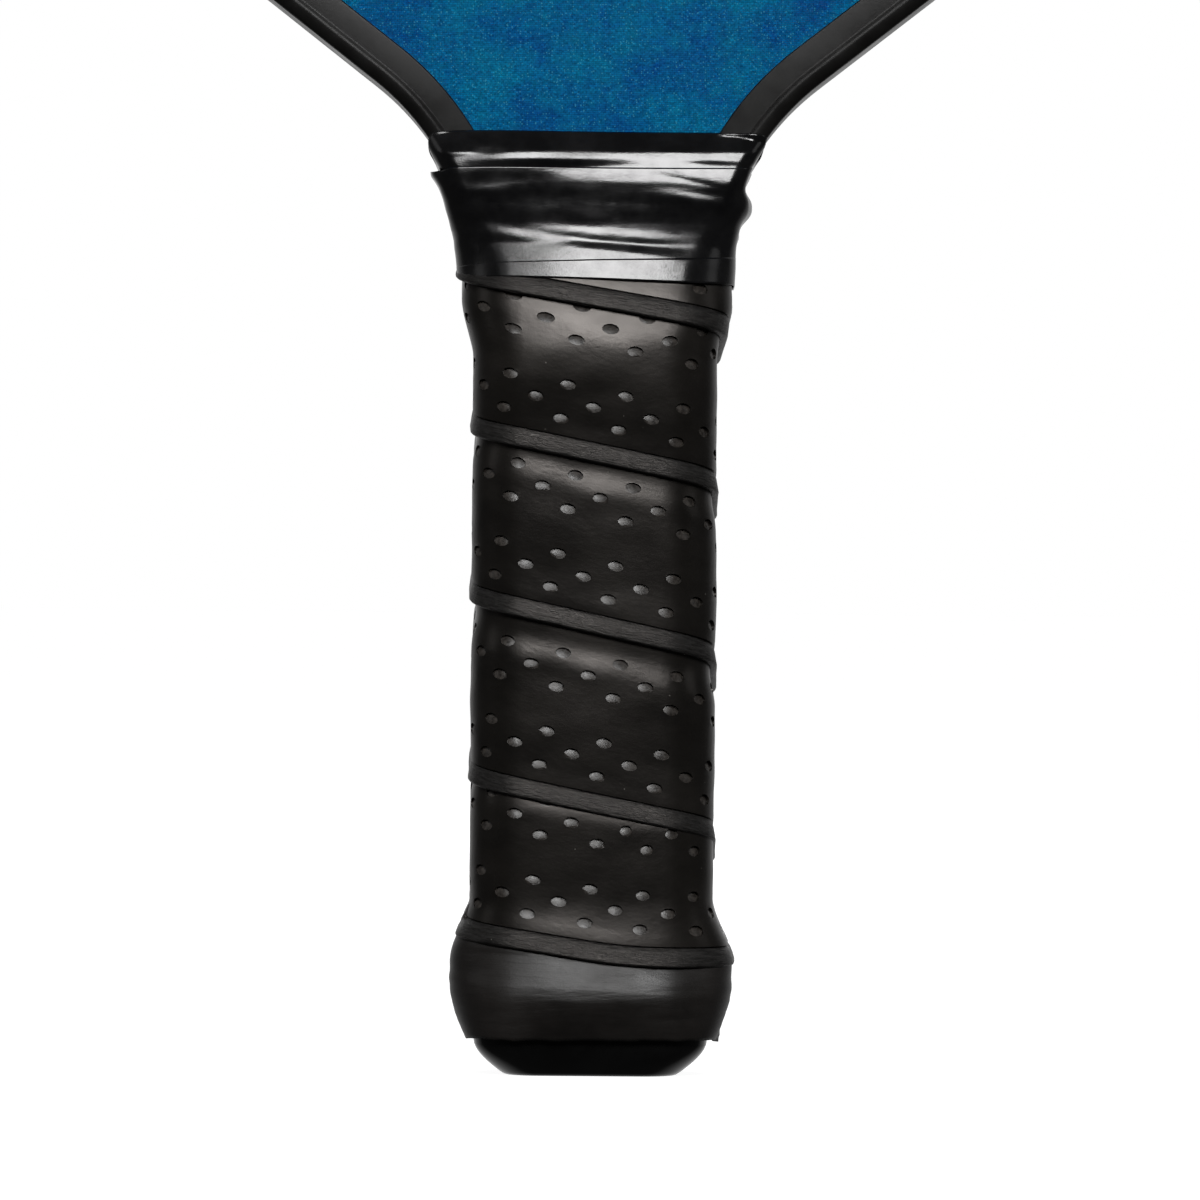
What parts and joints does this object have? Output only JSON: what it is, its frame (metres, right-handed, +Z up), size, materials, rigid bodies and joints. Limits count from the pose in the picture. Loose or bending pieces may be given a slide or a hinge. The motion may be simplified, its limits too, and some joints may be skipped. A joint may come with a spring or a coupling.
{
  "type": "pickleball paddle",
  "caption": "Flat honeycomb-core court paddle with a rounded rectangular face, a black edge guard, and a short wrapped handle that swells at the butt.",
  "frame": {"origin": "centre of the butt cap's flat end", "axes": "+X across the face, -Y is the front, +Z up the handle from the butt to the top edge"},
  "size_m": [0.203, 0.0334, 0.4],
  "materials": {
    "core": "satin",
    "scrim": "matte",
    "face": "satin",
    "guard": "satin",
    "bond_tape": "satin",
    "pallet_foam": "matte",
    "cap": "gloss",
    "staple_steel": "satin",
    "sleeve": "satin",
    "grip_foam": "matte",
    "grip_skin": "satin",
    "stretch_tape": "gloss"
  },
  "bodies": {
    "root": {"honeycomb_core": "core", "core_scrim_front": "scrim", "core_scrim_back": "scrim", "front_face": "face", "back_face": "face", "edge_guard": "guard", "edge_guard_tape": "bond_tape", "handle_pallet_front": "pallet_foam", "handle_pallet_back": "pallet_foam", "pallet_tape_front": "bond_tape", "pallet_tape_back": "bond_tape", "butt_cap": "cap", "butt_cap_staples": "staple_steel", "butt_sleeve": "sleeve", "grip_adhesive_strip": "bond_tape", "grip_cushion": "grip_foam", "grip_cover": "grip_skin", "grip_staple": "staple_steel", "finishing_tape": "stretch_tape"}
  },
  "joints": []
}
